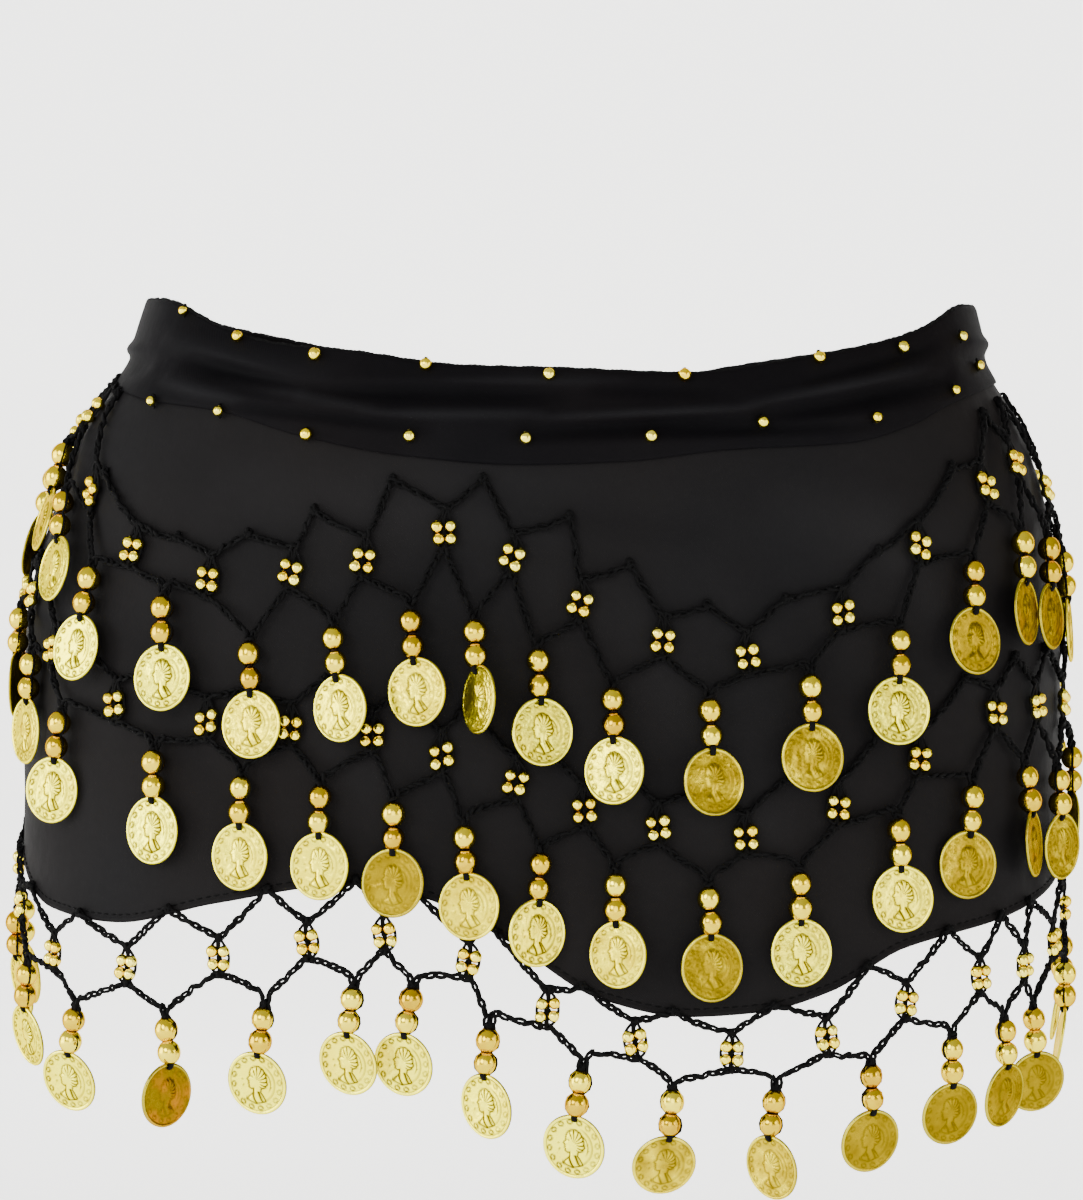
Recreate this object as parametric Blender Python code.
"""A belly dance hip scarf as it is worn: a black cloth tied behind, with three rows of coins.

The scarf keeps the hollow form that it has on the hips. Sizes in the tables are millimetres
on the garment: "along" is measured round the hips from the centre front, to the right of
whoever looks at the front, and "height" from the level where the hips hold the scarf.
The front faces -Y, up is +Z, and the origin is the middle of the hips at that level.
"""

import math
from collections import namedtuple

import bpy
from mathutils import Vector

MM = 0.001  # the tables are in millimetres and the meshes in metres

CLOTH = 1.2  # thickness of the cloth's wall
SEAM = 0.35  # gap between two pieces that meet
PANEL_END = 315.0  # half the length of the panel that carries the coins
PANEL_COLUMNS = 46
PANEL_ROWS = 9
BAND_THICKNESS = 1.1
BAND_GAP = 0.6  # between the band and the panel that it lies on
BAND_SLACK = 2.4  # how far the folded edge stands off the panel at its middle
BAND_ROWS = 5
TIE_COLUMNS = 8
TIE_ROWS = 14

CORD_HALF_WIDTH = 1.2  # the crochet cord of the nets
CORD_HALF_THICKNESS = 0.9
CORD_OUT = 1.75  # middle of a cord that lies on the cloth
CLUSTER_HALF_THICKNESS = 2.1  # four small beads, threaded as a square
CLUSTER_OUT = 2.9
BEAD_HALF = 3.6  # half a large bead, and half its height
BEAD_HALF_HEIGHT = 3.85
BEAD_NECK = 1.5  # half the width of the thread between two beads
BEAD_DROP = 1.8  # from the root of a dangle to its first bead
COIN_HALF_WIDTH = 10.3
COIN_HALF_HEIGHT = 10.8
COIN_HALF_THICKNESS = 0.5
COIN_SIDES = 10
COIN_REST = 3.0  # over the cloth, a coin that turns further than this lifts off it
COIN_SIDE_REST = 1.6
COIN_DROP = 28.0  # from the root of a dangle to the middle of its coin
DANGLE_LENGTH = 40.0

HIP_POWER = 2.25  # above 2 the ring of the hips is a little squarer than an ellipse
MEASURE_HEIGHT = -80.0  # the hips are measured round at this height
RING_STEPS = 1440

Section = namedtuple("Section", "height half_width shift front_depth back_depth")
SECTIONS = [
    Section(-290, 175.0, 0.0, 113, 128),
    Section(-150, 175.0, 0.0, 112, 128),
    Section(-80, 173.3, 0.5, 110, 127),
    Section(-40, 167.5, 2.3, 107, 120),
    Section(-10, 158.0, 3.0, 102, 110),
    Section(15, 143.0, 5.5, 97, 102),
    Section(45, 137.0, 7.0, 91, 95),
]

Edge = namedtuple("Edge", "along height")
TOP_EDGE = [
    Edge(-472, 4), Edge(-452, 5), Edge(-400, 15), Edge(-315, 26), Edge(-265, 31), Edge(-225, 33.5),
    Edge(-190, 31.5), Edge(-150, 25.5), Edge(-110, 17), Edge(-78, 13.8), Edge(-35, 8.6),
    Edge(0, 7.6), Edge(47, 6), Edge(92, 11.2), Edge(130, 17.5), Edge(165, 26.5),
    Edge(190, 31), Edge(225, 33.5), Edge(265, 30), Edge(315, 21.5), Edge(400, 12.5), Edge(452, 5),
    Edge(472, 4),
]
BAND_EDGE = [
    Edge(-315, 6), Edge(-250, 11), Edge(-200, 10), Edge(-175, 4), Edge(-161, -1), Edge(-124, -5.5),
    Edge(-89, -14), Edge(-52, -20.6), Edge(-10, -23.8), Edge(25, -22.8), Edge(60, -19),
    Edge(107, -16.3), Edge(130, -11.5), Edge(157, -3.2), Edge(175, 3), Edge(195, 8), Edge(250, 11),
    Edge(315, 6),
]
HEM = [
    Edge(-472, -12.5), Edge(-452, -13.5), Edge(-430, -26), Edge(-400, -46), Edge(-365, -78),
    Edge(-340, -106), Edge(-315, -127), Edge(-270, -138), Edge(-221, -153), Edge(-181, -170),
    Edge(-145, -174), Edge(-107, -167), Edge(-61, -160.5), Edge(-38, -164.5), Edge(-10, -179),
    Edge(19, -197.5), Edge(47, -203.3), Edge(70, -202), Edge(94, -195.5), Edge(120, -182),
    Edge(164, -172.7), Edge(200, -163), Edge(240, -148), Edge(285, -134), Edge(315, -126),
    Edge(340, -106), Edge(365, -78), Edge(400, -46), Edge(430, -26), Edge(452, -13.5),
    Edge(472, -12.5),
]

# A fold runs straight from its first end to its second; a negative depth is a trough.
Fold = namedtuple("Fold", "along_1 height_1 along_2 height_2 depth half_width")
BODY_FOLDS = [
    Fold(-262, 10, -214, -125, 1.7, 22),
    Fold(-300, 5, -268, -115, -1.8, 20),
    Fold(-170, -22, -206, -130, -1.6, 20),
    Fold(212, 10, 232, -135, 1.6, 22),
    Fold(258, 10, 276, -120, -1.8, 20),
    Fold(-120, -30, 20, -38, 1.3, 22),
    Fold(70, -34, 150, -52, 1.2, 20),
]
BAND_FOLDS = [
    Fold(-150, 12, -92, 0, -2.2, 5.5),
    Fold(-98, 0, 6, -1, -2.0, 5.0),
    Fold(-170, 20, -80, 6, 1.2, 6),
    Fold(-14, -13, 78, -9, -2.2, 5.5),
    Fold(70, -9, 164, 6, -2.0, 5.5),
    Fold(12, 1, 62, 0, -0.9, 4),
    Fold(-290, 12, -170, 10, -1.8, 6),
    Fold(170, 12, 295, 10, -1.8, 6),
]

# One line for each dangle: where its root is, the height of the net's peak above it, of the
# square of beads to its right and of the root; how far it leans to the right and its coin turns.
Dangle = namedtuple("Dangle", "along peak square root lean turn")
UPPER_ROW = [
    Dangle(-292, 1, -17, -31, 0, 10),
    Dangle(-268, 5, -13, -28, 0, -12),
    Dangle(-243, 6, -9, -22, 0, 8),
    Dangle(-211, 6, -4, -14.2, 10, -8),
    Dangle(-188.7, 1, -28, -30.4, 12, -7),
    Dangle(-161, -25, -49, -55.8, -4, -5),
    Dangle(-128.3, -46, -61, -65.4, 5, -8),
    Dangle(-95.4, -45, -58.7, -80.4, 4, 2),
    Dangle(-68.3, -34, -55, -75.4, 7, 19),
    Dangle(-43.2, -27.5, -46, -69.9, 5, 18),
    Dangle(-22.5, -26.5, -54, -73.5, 4, 56),
    Dangle(-1.9, -41, -69, -82.6, 4, -15),
    Dangle(22.5, -53, -81, -95.2, 0, 23),
    Dangle(53.3, -70, -86.3, -98.8, 2, -8),
    Dangle(86.6, -64, -72, -91.1, -1, 8),
    Dangle(118.1, -45, -50, -76.1, -5, 17),
    Dangle(148.2, -24, -30, -53.6, -7, 7),
    Dangle(175, -6, -22, -44, -7, -9),
    Dangle(195, -2, -30, -45.7, -11, 6),
    Dangle(231, 0, -28, -50, 8, 8),
    Dangle(259, 2, -25, -45, 0, -10),
    Dangle(286, 0, -19, -38, 0, 10),
]
MIDDLE_ROW = [
    Dangle(-297, -52, -66, -80, 0, -10),
    Dangle(-269, -51, -65, -79, 0, 12),
    Dangle(-244, -52, -64, -76, 0, -8),
    Dangle(-217, -53, -66, -69, 3, 14),
    Dangle(-196, -60, -84, -84.2, -6, -9),
    Dangle(-169.7, -78, -102, -103.4, -5, -23),
    Dangle(-128.3, -92, -107.7, -115.7, 0, 2),
    Dangle(-96.7, -96, -109.5, -123.8, -1, 6),
    Dangle(-70.7, -94, -111.6, -126.7, 0, 8),
    Dangle(-46.7, -97, -118.4, -132, -1, 6),
    Dangle(-24.8, -103, -127, -139.6, 4, 9),
    Dangle(-0.2, -113, -135.2, -148.2, -2, -26),
    Dangle(23.2, -121, -142.7, -155.1, 1, 28),
    Dangle(52.8, -129, -145.1, -159.5, 2, -3),
    Dangle(82.1, -124, -135.6, -154.9, 1, 2),
    Dangle(116.1, -107, -118.6, -137.9, 2, 20),
    Dangle(145.1, -94, -105, -127.4, -6, 16),
    Dangle(170.2, -87, -103, -121.3, 8, -20),
    Dangle(193.5, -84, -101, -122.8, 7, 16),
    Dangle(232, -80, -98, -116, 0, -12),
    Dangle(258, -71, -88, -105, 0, 10),
    Dangle(280, -61, -77, -94, 0, -8),
    Dangle(303, -54, -70, -86, 0, 8),
]
HEM_ROW = [  # the peaks are tied into the hem, so the table gives no height for them
    Dangle(-247, None, -157, -168, 0, 8),
    Dangle(-219, None, -170, -171.3, -9, -16),
    Dangle(-195.4, None, -185, -187.7, -14, -12),
    Dangle(-161.9, None, -189.5, -201.3, -14, -16),
    Dangle(-123.7, None, -184.6, -203, 5, -74),
    Dangle(-88.5, None, -179, -198.8, -9, 6),
    Dangle(-59.3, None, -175.5, -191.9, -8, 17),
    Dangle(-40.4, None, -185, -192, -10, 19),
    Dangle(-16.3, None, -200.7, -205.1, -6, 39),
    Dangle(13.1, None, -211, -218.6, -9, 23),
    Dangle(41.5, None, -215, -225.1, -4, -8),
    Dangle(74.7, None, -210.4, -225.5, -8, 56),
    Dangle(106.6, None, -198, -217.8, 3, -4),
    Dangle(137, None, -190.7, -209.8, 2, 16),
    Dangle(160.5, None, -188.9, -204.8, 6, -4),
    Dangle(177, None, -182, -201.5, 8, 35),
    Dangle(212, None, -172, -188, 0, -10),
    Dangle(240, None, -164, -180, 0, 12),
]
HEM_NET_SPLIT = 10  # the hem net is two pieces, and the second starts with this dangle, from 0

# Middle of the coins, outside the cloth: in front, the upper coins hang over the next net.
UPPER_OUT = 7.6
UPPER_SIDE_OUT = 5.2
MIDDLE_OUT = 4.9
MIDDLE_SIDE_OUT = 4.2
HEM_OUT = 2.4
THREAD_OUT = 4.3  # middle of the thread above the first bead, on the cloth
SIDES_START = 150.0  # from here the coins come in to the sides' distance
SIDES_FULL = 200.0
SIDES_TURN = 250.0  # and from here they come out again for the back
SIDES_BACK = 265.0

TIE_END = 452.0  # where the gathered ends of the cloth run into the knot
TIE_FOLDS = 3
TIE_FOLD_DEPTH = 3.4
TIE_LIFT = 7.0  # the gathered ends leave the hips to reach the knot
KNOT_HALF_DEPTH = 12.0
KNOT_HALF_HEIGHT = 17.0
KNOT_OUT = 11.5
KNOT_HEIGHT = -4.0
KNOT_GROOVE = 0.2  # depth of the grooves between its wraps, as a share of its radius
KNOT_GROOVE_TWIST = 3.4
KNOT_RINGS = 13
KNOT_SIDES = 20
TAIL_OUT = 8.0
TAIL_COLUMNS = 6
TAIL_ROWS = 7
Tail = namedtuple("Tail", "name side length top_half end_half slant waves")
TAILS = [
    Tail("tail_left", -1, 128, 6.5, 23, 12, 1.5),
    Tail("tail_right", 1, 110, 6.0, 21, -12, 1.2),
]


def through(points, at):
    """Value at one place of the smooth curve through (place, value) points, with no overshoot."""
    if at <= points[0][0]:
        return points[0][1]
    if at >= points[-1][0]:
        return points[-1][1]
    i = max(k for k in range(len(points) - 1) if points[k][0] <= at)

    def slope(k):
        return (points[k + 1][1] - points[k][1]) / (points[k + 1][0] - points[k][0])

    def tangent(k):
        if k == 0 or k == len(points) - 1:
            return slope(min(k, len(points) - 2))
        before, after = slope(k - 1), slope(k)
        if before * after <= 0:
            return 0.0
        return 2 * before * after / (before + after)

    (x0, y0), (x1, y1) = points[i], points[i + 1]
    span = x1 - x0
    t = (at - x0) / span
    rise = y1 - y0
    m0, m1 = tangent(i) * span, tangent(i + 1) * span
    return y0 + t * m0 + t * t * (3 * rise - 2 * m0 - m1) + t ** 3 * (m0 + m1 - 2 * rise)


def column(table, name):
    """One column of a table, against its first column."""
    return [(row[0], getattr(row, name)) for row in table]


SECTION_CURVES = {name: column(SECTIONS, name) for name in Section._fields[1:]}


def ring_point(angle, height, out=0.0):
    """A point that lies out mm off the hips at an angle from the centre front, and its outward way."""
    half_width = through(SECTION_CURVES["half_width"], height)
    depth_name = "front_depth" if math.cos(angle) > 0 else "back_depth"
    half_depth = through(SECTION_CURVES[depth_name], height)
    across, ahead = math.sin(angle) / half_width, -math.cos(angle) / half_depth
    size = (abs(across) ** HIP_POWER + abs(ahead) ** HIP_POWER) ** (-1 / HIP_POWER)
    outward = Vector((
        math.copysign(abs(across) ** (HIP_POWER - 1), across) / half_width,
        math.copysign(abs(ahead) ** (HIP_POWER - 1), ahead) / half_depth,
        0.0,
    )).normalized()
    shift = through(SECTION_CURVES["shift"], height)
    place = Vector((size * math.sin(angle) + shift, -size * math.cos(angle), height))
    return place + out * outward, outward


def measure_round():
    """Pairs of the distance along the hips and the angle, from the centre back to itself."""
    angles = [2 * math.pi * k / RING_STEPS - math.pi for k in range(RING_STEPS + 1)]
    places = [ring_point(angle, MEASURE_HEIGHT)[0] for angle in angles]
    lengths = [0.0]
    for k in range(RING_STEPS):
        lengths.append(lengths[-1] + (places[k + 1] - places[k]).length)
    front = lengths[RING_STEPS // 2]
    return [(length - front, angle) for length, angle in zip(lengths, angles)]


ROUND = measure_round()
HALF_ROUND = ROUND[-1][0]  # half the hips' girth


def angle_at(along):
    """The angle from the centre front that lies a distance along the hips."""
    low, high = 0, len(ROUND) - 1
    while high - low > 1:
        middle = (low + high) // 2
        if ROUND[middle][0] <= along:
            low = middle
        else:
            high = middle
    (a0, b0), (a1, b1) = ROUND[low], ROUND[high]
    return b0 + (b1 - b0) * (along - a0) / (a1 - a0)


def fold_height(folds, along, height):
    """How far the folds lift the cloth at one place."""
    lift = 0.0
    for fold in folds:
        run = fold.along_2 - fold.along_1
        drop = fold.height_2 - fold.height_1
        length = math.hypot(run, drop)
        ahead = ((along - fold.along_1) * run + (height - fold.height_1) * drop) / length
        aside = ((along - fold.along_1) * drop - (height - fold.height_1) * run) / length
        share = min(1.0, abs(aside) / fold.half_width)
        middle = math.sin(math.pi * min(1.0, max(0.0, ahead / length)))
        lift += fold.depth * (0.5 + 0.5 * math.cos(math.pi * share)) * math.sqrt(middle)
    return lift


def cloth_point(along, height, out=0.0):
    """A point out mm off the cloth's outer face, and its outward way."""
    lift = fold_height(BODY_FOLDS, along, height)
    return ring_point(angle_at(along), height, out + lift)


class Plate:
    """A thin closed body: a sheet of faces whose points each have their own thickness."""

    def __init__(self):
        self.front = []
        self.back = []
        self.faces = []

    def point(self, place, outward, half):
        self.front.append((place + half * outward) * MM)
        self.back.append((place - half * outward) * MM)
        return len(self.front) - 1

    def face(self, *points):
        """A face whose points run anticlockwise, seen from outside."""
        self.faces.append(points)

    def join(self, start, end):
        """A strip of cord from one edge of a face to an edge of another, each in its face's order."""
        self.face(start[1], start[0], end[1], end[0])

    def fan(self, middle, rim):
        for k in range(len(rim)):
            self.face(middle, rim[k], rim[(k + 1) % len(rim)])

    def grid(self, rows):
        """Faces over rows of points that go up, each row from left to right."""
        for low, high in zip(rows, rows[1:]):
            for k in range(len(low) - 1):
                self.face(low[k], low[k + 1], high[k + 1], high[k])

    def build(self, name, material):
        count = len(self.front)
        edges = {(f[k], f[(k + 1) % len(f)]) for f in self.faces for k in range(len(f))}
        faces = list(self.faces)
        faces += [tuple(count + p for p in reversed(f)) for f in self.faces]
        faces += [(b, a, count + a, count + b) for a, b in sorted(edges) if (b, a) not in edges]
        return body(name, self.front + self.back, faces, material)


def body(name, points, faces, material):
    mesh = bpy.data.meshes.new(name)
    mesh.from_pydata([tuple(p) for p in points], [], faces)
    mesh.validate()
    mesh.materials.append(material)
    mesh.shade_smooth()
    mesh.set_sharp_from_angle(angle=math.radians(35))
    made = bpy.data.objects.new(name, mesh)
    bpy.context.scene.collection.objects.link(made)
    return made


def finish(name, color, roughness, metallic):
    material = bpy.data.materials.new(name)
    material.use_nodes = True
    shader = material.node_tree.nodes["Principled BSDF"]
    shader.inputs["Base Color"].default_value = (*color, 1.0)
    shader.inputs["Roughness"].default_value = roughness
    shader.inputs["Metallic"].default_value = metallic
    return material


def spaced(start, end, count):
    return [start + (end - start) * k / count for k in range(count + 1)]


# ---- the cloth ----

def cloth_panel(material):
    """The stretch that carries the coins, from one tie round the front to the other."""
    plate = Plate()
    rows = []
    for share in spaced(0, 1, PANEL_ROWS):
        row = []
        for along in spaced(-PANEL_END, PANEL_END, PANEL_COLUMNS):
            low, high = through(HEM, along), through(TOP_EDGE, along)
            height = low + (high - low) * share
            row.append(plate.point(*cloth_point(along, height, -CLOTH / 2), CLOTH / 2))
        rows.append(row)
    plate.grid(rows)
    return plate.build("cloth_panel", material)


def top_band(material):
    """The cloth's upper edge, folded down over its face and creased along its length."""
    plate = Plate()
    rows = []
    middle = BAND_GAP + BAND_THICKNESS / 2
    for share in spaced(0, 1, BAND_ROWS):
        row = []
        for along in spaced(-PANEL_END, PANEL_END, PANEL_COLUMNS):
            low, high = through(BAND_EDGE, along), through(TOP_EDGE, along)
            height = low + (high - low) * share
            slack = BAND_SLACK * math.sin(math.pi * share)
            lift = slack + fold_height(BAND_FOLDS, along, height)
            place, outward = cloth_point(along, height, middle + max(0.0, lift))
            row.append(plate.point(place, outward, BAND_THICKNESS / 2))
        rows.append(row)
    plate.grid(rows)
    return plate.build("top_band", material)


def tie_stretch(name, side, material):
    """One end of the cloth, drawn together into the knot."""
    plate = Plate()
    start = PANEL_END + SEAM
    rows = []
    for share in spaced(0, 1, TIE_ROWS):
        row = []
        for step in spaced(0, 1, TIE_COLUMNS):
            along = side * (start + (TIE_END - start) * step)
            low, high = through(HEM, along), through(TOP_EDGE, along)
            height = low + (high - low) * share
            gather = step ** 1.3 * (1 - 0.4 * step ** 4)
            wave = math.cos(2 * math.pi * (TIE_FOLDS * share + 0.12 * math.sin(5 * share)))
            out = TIE_LIFT * step ** 3 + TIE_FOLD_DEPTH * gather * wave - CLOTH / 2
            row.append(plate.point(*cloth_point(along, height, out), CLOTH / 2))
        rows.append(row if side > 0 else row[::-1])
    plate.grid(rows)
    return plate.build(name, material)


def knot_place():
    """The middle of the knot between the gathered ends, its outward way and half its length."""
    ends = [cloth_point(side * TIE_END, KNOT_HEIGHT)[0].x for side in (-1, 1)]
    centre, outward = ring_point(math.pi, KNOT_HEIGHT, KNOT_OUT)
    centre.x = sum(ends) / 2
    return centre, outward, abs(ends[0] - ends[1]) / 2 - SEAM


def knot_section(across, turn):
    """How far a point of the knot lies out and up; across runs from -1 to 1 along its length."""
    groove = (0.5 + 0.5 * math.cos(2 * turn + KNOT_GROOVE_TWIST * across)) ** 2
    size = (1 - 0.62 * abs(across) ** 2.6) ** 0.8 * (1 - KNOT_GROOVE * groove)
    return size * KNOT_HALF_DEPTH * math.sin(turn), size * KNOT_HALF_HEIGHT * math.cos(turn)


def knot(material):
    """The knot of the two ends, a rounded lump with the grooves of its wraps."""
    centre, outward, half_length = knot_place()
    points, faces = [], []
    for across in spaced(-1, 1, KNOT_RINGS - 1):
        for k in range(KNOT_SIDES):
            out, up = knot_section(across, 2 * math.pi * k / KNOT_SIDES)
            points.append((centre + Vector((across * half_length, out * outward.y, up))) * MM)
    for ring in range(KNOT_RINGS - 1):
        for k in range(KNOT_SIDES):
            a, b = ring * KNOT_SIDES + k, ring * KNOT_SIDES + (k + 1) % KNOT_SIDES
            faces.append((a, a + KNOT_SIDES, b + KNOT_SIDES, b))
    faces.append(tuple(range(KNOT_SIDES)))
    last = (KNOT_RINGS - 1) * KNOT_SIDES
    faces.append(tuple(reversed(range(last, last + KNOT_SIDES))))
    return body("knot", points, faces, material)


def knot_bottom(place):
    """Height of the knot's lower side, above or below a place."""
    centre, outward, half_length = knot_place()
    rings = spaced(-1, 1, KNOT_RINGS - 1)
    across = (place.x - centre.x) / half_length
    ring = max(k for k in range(KNOT_RINGS - 1) if rings[k] <= across)
    share = (across - rings[ring]) / (rings[ring + 1] - rings[ring])
    section = []
    for turn in spaced(0, 2 * math.pi, KNOT_SIDES):
        before = Vector(knot_section(rings[ring], turn))
        section.append(before.lerp(Vector(knot_section(rings[ring + 1], turn)), share))
    out = (place.y - centre.y) * outward.y
    heights = []
    for (out_1, up_1), (out_2, up_2) in zip(section, section[1:]):
        if min(out_1, out_2) <= out < max(out_1, out_2):
            heights.append(up_1 + (up_2 - up_1) * (out - out_1) / (out_2 - out_1))
    return centre.z + min(heights)


def under_knot(place):
    """The highest that a wall of cloth can reach at a place below the knot."""
    near = [Vector((x, y, 0)) for x in spaced(-1, 1, 8) for y in (-CLOTH / 2, CLOTH / 2)]
    return min(knot_bottom(place + step) for step in near) - SEAM


def tail(spec, material):
    """A free end of the cloth below the knot, narrow there and spread out at its cut end."""
    plate = Plate()
    top = KNOT_HEIGHT - KNOT_HALF_HEIGHT
    rows = []
    for step in spaced(1, 0, TAIL_ROWS):
        half = spec.top_half + (spec.end_half - spec.top_half) * step ** 0.7
        middle = spec.side * (spec.top_half + 1.2 + (spec.end_half - 1.0) * step ** 0.8)
        depth = 1.6 + 2.4 * step - 2.0 * step ** 2
        row = []
        for share in spaced(-1, 1, TAIL_COLUMNS):
            height = top - spec.length * step - spec.slant * share * step ** 2
            wave = math.cos(math.pi * (spec.waves * share + 0.4 * step) + 0.3 * spec.side)
            angle = math.pi * (1 - (middle + half * share) / HALF_ROUND)
            place, outward = ring_point(angle, height, TAIL_OUT - 2.0 * step + depth * wave)
            if step == 0:
                place.z = under_knot(place)
            row.append(plate.point(place, outward, CLOTH / 2))
        rows.append(row[::-1])
    plate.grid(rows)
    return plate.build(spec.name, material)


# ---- the coin nets ----

def flat_shape(plate, along, height, out, half, corners):
    """Points of a small flat shape on the cloth; its corners are (aside, up) from its middle."""
    return [
        plate.point(*cloth_point(along + aside, height + up, out), half)
        for aside, up in corners
    ]


def net_peak(plate, along, height, out):
    """Where two cords are tied to the cloth; the edges that its cords leave by."""
    w = CORD_HALF_WIDTH
    corners = [(-w, w), (-1.4 * w, -0.5 * w), (0, -1.4 * w), (1.4 * w, -0.5 * w), (w, w)]
    p = flat_shape(plate, along, height, out, CORD_HALF_THICKNESS, corners)
    plate.face(*p)
    return {"left": (p[1], p[2]), "right": (p[2], p[3])}


SQUARE_CORNERS = [
    (0, 8.6), (-1.5, 5.6), (-4.4, 3.6), (-4.4, -3.2), (-1.6, -4.8),
    (0, -7.4), (1.6, -4.8), (4.4, -3.2), (4.4, 3.6), (1.5, 5.6),
]


def bead_square(plate, along, height, out):
    """Four small beads as one swelling, with the cords that run in above and below it."""
    p = flat_shape(plate, along, height, out, CORD_HALF_THICKNESS, SQUARE_CORNERS)
    middle = plate.point(*cloth_point(along, height, out), CLUSTER_HALF_THICKNESS)
    plate.fan(middle, p)
    return {
        "top_left": (p[0], p[1]), "bottom_left": (p[4], p[5]),
        "bottom_right": (p[5], p[6]), "top_right": (p[9], p[0]),
    }


def loose_ends(plate, along, height, out):
    """The ends of two cords that reach a bead square of another piece from the right."""
    corners = [SQUARE_CORNERS[k] for k in (9, 0, 5, 6)]
    rises = (SEAM, SEAM, -SEAM, -SEAM)
    corners = [(aside + SEAM, up + rise) for (aside, up), rise in zip(corners, rises)]
    p = flat_shape(plate, along, height, out, CORD_HALF_THICKNESS, corners)
    return {"top_right": (p[0], p[1]), "bottom_right": (p[2], p[3])}


def dangle_root(plate, along, height, out):
    """Where two cords meet above a dangle; the edges for them and for the first bead."""
    w = CORD_HALF_WIDTH
    corners = [(0, 1.4 * w), (-1.4 * w, 0.5 * w), (-w, -w), (w, -w), (1.4 * w, 0.5 * w)]
    p = flat_shape(plate, along, height, out, CORD_HALF_THICKNESS, corners)
    plate.face(*p)
    return {"left": (p[0], p[1]), "below": (p[2], p[3]), "right": (p[4], p[0])}


def hang_dangle(plate, dangle, out, coin_outs, start):
    """Two large beads and a coin on one thread below a root."""
    turn = math.radians(dangle.turn)
    along = abs(dangle.along)
    coming_in = (along - SIDES_START) / (SIDES_FULL - SIDES_START)
    going_out = (SIDES_BACK - along) / (SIDES_BACK - SIDES_TURN)
    side = min(1.0, max(0.0, min(coming_in, going_out)))
    coin_out = coin_outs[0] + (coin_outs[1] - coin_outs[0]) * side
    root, outward = cloth_point(dangle.along, dangle.root, out)
    slope = 0.0
    if dangle.peak is not None:  # the hem's coins hang and turn freely below the cloth
        rest = COIN_REST + (COIN_SIDE_REST - COIN_REST) * side
        coin_out += max(0.0, COIN_HALF_WIDTH * abs(math.sin(turn)) - rest)
        end = cloth_point(dangle.along, dangle.root - DANGLE_LENGTH, out)[0]
        slope = max(0.0, (end - root).dot(outward) / DANGLE_LENGTH) + (coin_out - out) / COIN_DROP
    hanging = (outward * slope - Vector((0, 0, 1))).normalized()
    aside = Vector((-outward.y, outward.x, 0.0))
    lean = math.radians(dangle.lean)
    down = hanging * math.cos(lean) + aside * math.sin(lean)
    outward = (outward - down * outward.dot(down)).normalized()
    level = outward.cross(down)  # to the right, square to the thread

    def spot(right, below, half, turn=0.0):
        turned = level * math.cos(turn) + outward * math.sin(turn)
        faced = outward * math.cos(turn) - level * math.sin(turn)
        return plate.point(root + down * below + turned * right, faced, half)

    top = BEAD_DROP
    upper = (spot(BEAD_NECK, top, CORD_HALF_THICKNESS), spot(-BEAD_NECK, top, CORD_HALF_THICKNESS))
    plate.join(start, upper)
    for _ in range(2):
        middle = top + BEAD_HALF_HEIGHT
        bottom = top + 2 * BEAD_HALF_HEIGHT
        left = spot(-BEAD_HALF, middle, 1.5)
        right = spot(BEAD_HALF, middle, 1.5)
        lower = (spot(-BEAD_NECK, bottom, 0.9), spot(BEAD_NECK, bottom, 0.9))
        centre = spot(0, middle, BEAD_HALF)
        plate.fan(centre, [upper[0], upper[1], left, lower[0], lower[1], right])
        upper = (lower[1], lower[0])
        top = bottom
    first = math.asin(BEAD_NECK / COIN_HALF_WIDTH)
    middle = top + COIN_HALF_HEIGHT * math.cos(first)
    rim = [upper[0], upper[1]]
    for k in range(1, COIN_SIDES - 1):
        around = first + (2 * math.pi - 2 * first) * k / (COIN_SIDES - 1)
        right = -COIN_HALF_WIDTH * math.sin(around)
        rim.append(spot(right, middle - COIN_HALF_HEIGHT * math.cos(around), COIN_HALF_THICKNESS, turn))
    plate.fan(spot(0, middle, COIN_HALF_THICKNESS, turn), rim)


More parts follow.
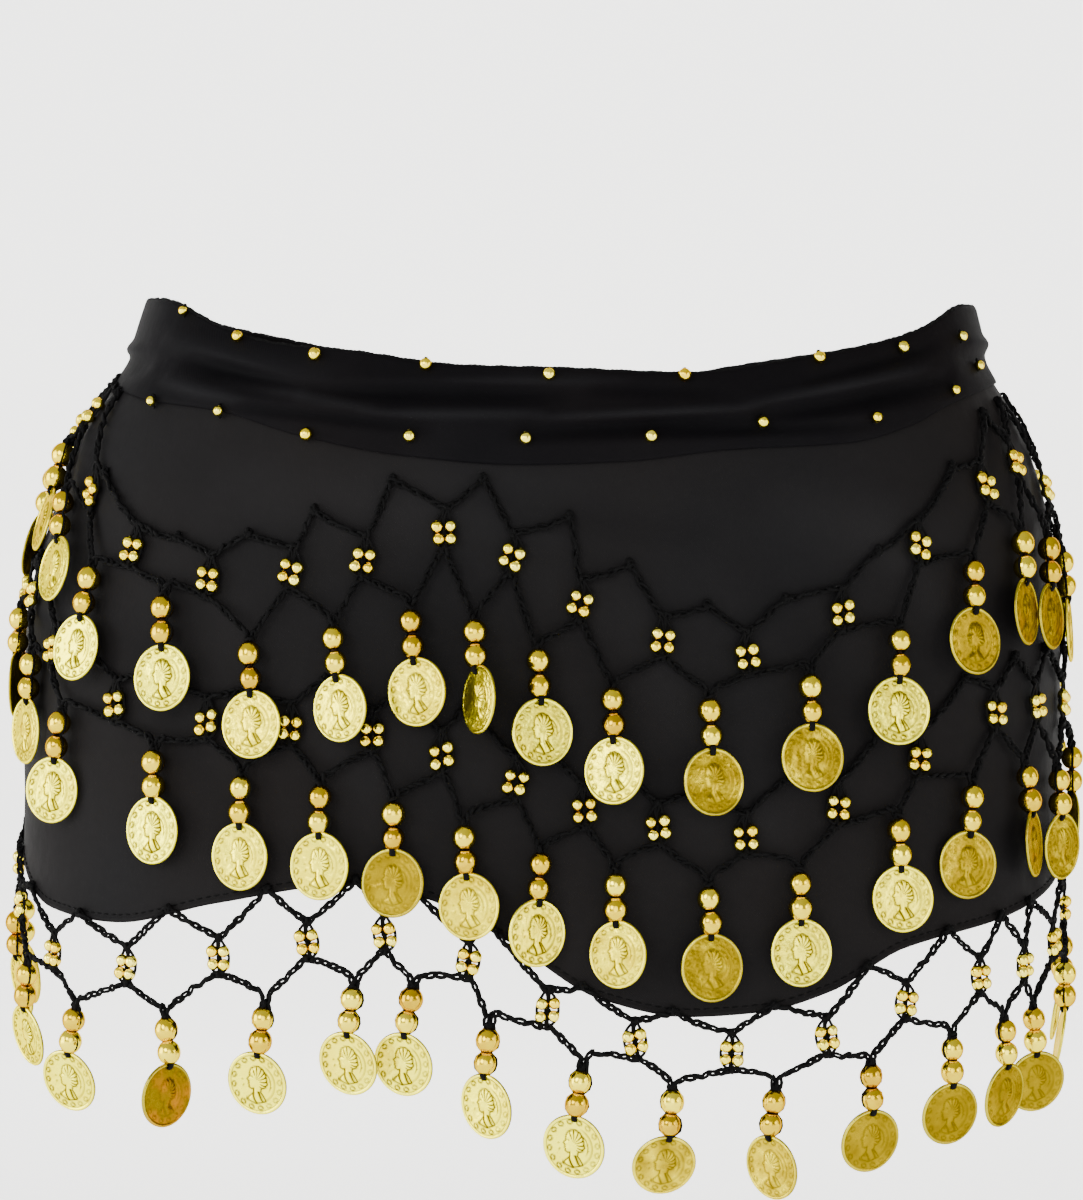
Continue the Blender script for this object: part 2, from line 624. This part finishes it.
def coin_net(name, row, first, end, coin_outs, square_out, material):
    """A zigzag of cord tied to the cloth, a bead square at each low point and the dangles below.

    It is made from one stretch of a row; where the row goes on past the end of the stretch,
    this piece has the bead square there, and the next piece's cords run up to it.
    """
    plate = Plate()
    out = THREAD_OUT if coin_outs[0] > THREAD_OUT else square_out
    square = None
    if first > 0:
        before = row[first - 1]
        middle = (before.along + row[first].along) / 2
        square = loose_ends(plate, middle, before.square, square_out)
    for number in range(first, end):
        dangle = row[number]
        height = hem_peak(dangle.along) if dangle.peak is None else dangle.peak
        peak = net_peak(plate, dangle.along, height, CORD_OUT)
        root = dangle_root(plate, dangle.along, dangle.root, min(out, square_out + 1.2))
        hang_dangle(plate, dangle, out, coin_outs, root["below"])
        if square:
            plate.join(peak["left"], square["top_right"])
            plate.join(root["left"], square["bottom_right"])
        if number + 1 < len(row):
            middle = (dangle.along + row[number + 1].along) / 2
            square = bead_square(plate, middle, dangle.square, square_out)
            plate.join(peak["right"], square["top_left"])
            plate.join(root["right"], square["bottom_left"])
    return plate.build(name, material)


def hem_peak(along):
    """The hem net is tied a little above the hem's edge."""
    return through(HEM, along) + 1.8


def main():
    for old in list(bpy.data.objects):
        bpy.data.objects.remove(old)
    cloth = finish("black_cloth", (0.012, 0.012, 0.014), 0.62, 0.0)
    band_cloth = finish("black_band", (0.008, 0.008, 0.010), 0.55, 0.0)
    gold = finish("gold_coins", (0.72, 0.56, 0.20), 0.30, 1.0)
    cloth_panel(cloth)
    top_band(band_cloth)
    tie_stretch("tie_left", -1, cloth)
    tie_stretch("tie_right", 1, cloth)
    knot(cloth)
    for spec in TAILS:
        tail(spec, cloth)
    upper, middle, hem = (UPPER_OUT, UPPER_SIDE_OUT), (MIDDLE_OUT, MIDDLE_SIDE_OUT), (HEM_OUT, HEM_OUT)
    coin_net("coin_net_upper", UPPER_ROW, 0, len(UPPER_ROW), upper, CLUSTER_OUT, gold)
    coin_net("coin_net_middle", MIDDLE_ROW, 0, len(MIDDLE_ROW), middle, CLUSTER_OUT, gold)
    coin_net("hem_net_left", HEM_ROW, 0, HEM_NET_SPLIT, hem, HEM_OUT, gold)
    coin_net("hem_net_right", HEM_ROW, HEM_NET_SPLIT, len(HEM_ROW), hem, HEM_OUT, gold)


main()
